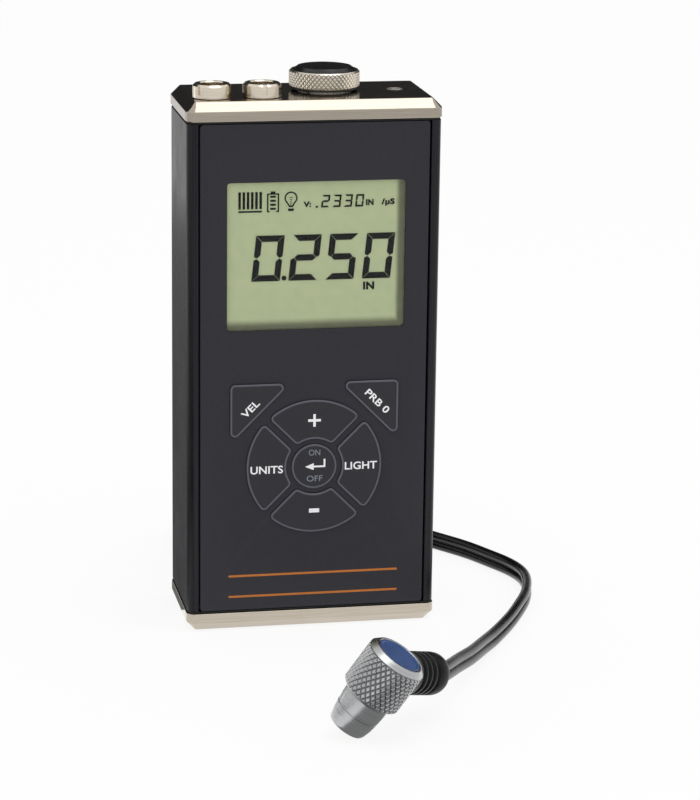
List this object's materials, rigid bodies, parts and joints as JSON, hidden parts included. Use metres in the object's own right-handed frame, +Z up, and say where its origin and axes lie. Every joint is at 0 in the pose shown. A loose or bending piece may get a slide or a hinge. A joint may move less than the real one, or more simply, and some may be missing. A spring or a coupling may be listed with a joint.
{
  "type": "ultrasonic thickness gauge",
  "caption": "Hand-held ultrasonic thickness gauge: black extruded case with bevelled metal end caps, display, keypad ring, probe sockets, and an angled knurled probe on a coiled twin lead.",
  "frame": {"origin": "centre of the bottom end cap's foot, on the surface that the gauge stands on", "axes": "+Z up along the case, towards the sockets; -Y out of the display; +X to the right of the display"},
  "size_m": [0.0954, 0.2234, 0.1405],
  "materials": {
    "black_anodised": "black anodised, satin gloss",
    "satin_nickel": "satin nickel plate",
    "gasket_rubber": "matte",
    "overlay_film": "fine textured film",
    "key_film": "fine textured film with embossed border",
    "membrane_circuit": "matte",
    "clear_window": "clear",
    "display_glass": "green grey liquid crystal display",
    "backlight_frame": "matte white",
    "circuit_board": "green solder mask",
    "black_plastic": "moulded",
    "cell_jacket": "plain printed jacket",
    "spring_steel": "bright wire",
    "dark_disc": "dark polished",
    "socket_insulator": "moulded",
    "probe_steel": "turned steel",
    "blue_disc": "satin blue",
    "delay_line": "lapped resin",
    "barrier_cork": "cork",
    "boot_rubber": "moulded, matte",
    "lead_jacket": "smooth extruded"
  },
  "bodies": {
    "gauge": {"case_extrusion": "black_anodised", "top_end_cap": "satin_nickel", "bottom_end_cap": "satin_nickel", "top_gasket": "gasket_rubber", "bottom_gasket": "gasket_rubber", "keypad_overlay": "overlay_film", "display_window": "clear_window", "keypad_circuit": "membrane_circuit", "lcd_glass": "display_glass", "lcd_backlight": "backlight_frame", "main_board": "circuit_board", "battery_tube": "black_plastic", "battery_cell_upper": "cell_jacket", "battery_cell_lower": "cell_jacket", "battery_spring": "spring_steel", "socket_shell_left": "satin_nickel", "socket_shell_right": "satin_nickel", "socket_insert_left": "socket_insulator", "socket_insert_right": "socket_insulator", "screw_top_left": "probe_steel", "screw_top_right": "probe_steel", "screw_bottom_left": "probe_steel", "screw_bottom_right": "probe_steel", "probe_body": "probe_steel", "probe_cap": "probe_steel", "probe_disc": "blue_disc", "probe_face_transmit": "delay_line", "probe_face_receive": "delay_line", "probe_barrier": "barrier_cork", "probe_boot": "boot_rubber", "twin_lead": "lead_jacket", "lead_end": "lead_jacket", "lead_coil": "lead_jacket", "coil_tie": "gasket_rubber", "lead_splitter": "boot_rubber", "lead_tail_a": "lead_jacket", "lead_tail_b": "lead_jacket", "plug_body_a": "satin_nickel", "plug_body_b": "satin_nickel", "plug_boot_a": "boot_rubber", "plug_boot_b": "boot_rubber"},
    "battery_cap_seal": {"battery_cap_seal": "gasket_rubber"},
    "battery_cap": {"battery_cap": "satin_nickel", "battery_cap_disc": "dark_disc"},
    "key_left": {"key_left": "key_film"},
    "key_right": {"key_right": "key_film"},
    "key_plus": {"key_plus": "key_film"},
    "key_minus": {"key_minus": "key_film"},
    "key_enter": {"key_enter": "key_film"},
    "key_corner_left": {"key_corner_left": "key_film"},
    "key_corner_right": {"key_corner_right": "key_film"},
    "plug_sleeve_a": {"plug_sleeve_a": "satin_nickel"},
    "plug_sleeve_b": {"plug_sleeve_b": "satin_nickel"}
  },
  "joints": [
    {"name": "battery_cap_lift", "type": "slide", "parent": "gauge", "child": "battery_cap_seal", "axis": [0, 0, 1], "range_m": [0, 0.004]},
    {"name": "battery_cap_turn", "type": "hinge", "parent": "battery_cap_seal", "child": "battery_cap", "pos_m": [0.00521, 0.00249, 0.1343], "axis": [0, 0, 1], "range_deg": [0, 1440]},
    {"name": "key_left_press", "type": "slide", "parent": "gauge", "child": "key_left", "axis": [0, 1, 0], "range_m": [0, 0.0003], "stiffness_N_per_m": 3000},
    {"name": "key_right_press", "type": "slide", "parent": "gauge", "child": "key_right", "axis": [0, 1, 0], "range_m": [0, 0.0003], "stiffness_N_per_m": 3000},
    {"name": "key_plus_press", "type": "slide", "parent": "gauge", "child": "key_plus", "axis": [0, 1, 0], "range_m": [0, 0.0003], "stiffness_N_per_m": 3000},
    {"name": "key_minus_press", "type": "slide", "parent": "gauge", "child": "key_minus", "axis": [0, 1, 0], "range_m": [0, 0.0003], "stiffness_N_per_m": 3000},
    {"name": "key_enter_press", "type": "slide", "parent": "gauge", "child": "key_enter", "axis": [0, 1, 0], "range_m": [0, 0.0003], "stiffness_N_per_m": 3000},
    {"name": "key_corner_left_press", "type": "slide", "parent": "gauge", "child": "key_corner_left", "axis": [0, 1, 0], "range_m": [0, 0.0003], "stiffness_N_per_m": 3000},
    {"name": "key_corner_right_press", "type": "slide", "parent": "gauge", "child": "key_corner_right", "axis": [0, 1, 0], "range_m": [0, 0.0003], "stiffness_N_per_m": 3000},
    {"name": "plug_sleeve_a_pull", "type": "slide", "parent": "gauge", "child": "plug_sleeve_a", "axis": [-1, 0, 0], "range_m": [0, 0.0012], "stiffness_N_per_m": 800},
    {"name": "plug_sleeve_b_pull", "type": "slide", "parent": "gauge", "child": "plug_sleeve_b", "axis": [-1, 0, 0], "range_m": [0, 0.0012], "stiffness_N_per_m": 800}
  ],
  "couplings": [
    {"joint": "battery_cap_turn", "follows": "battery_cap_lift", "rad_per_m": 6283}
  ]
}
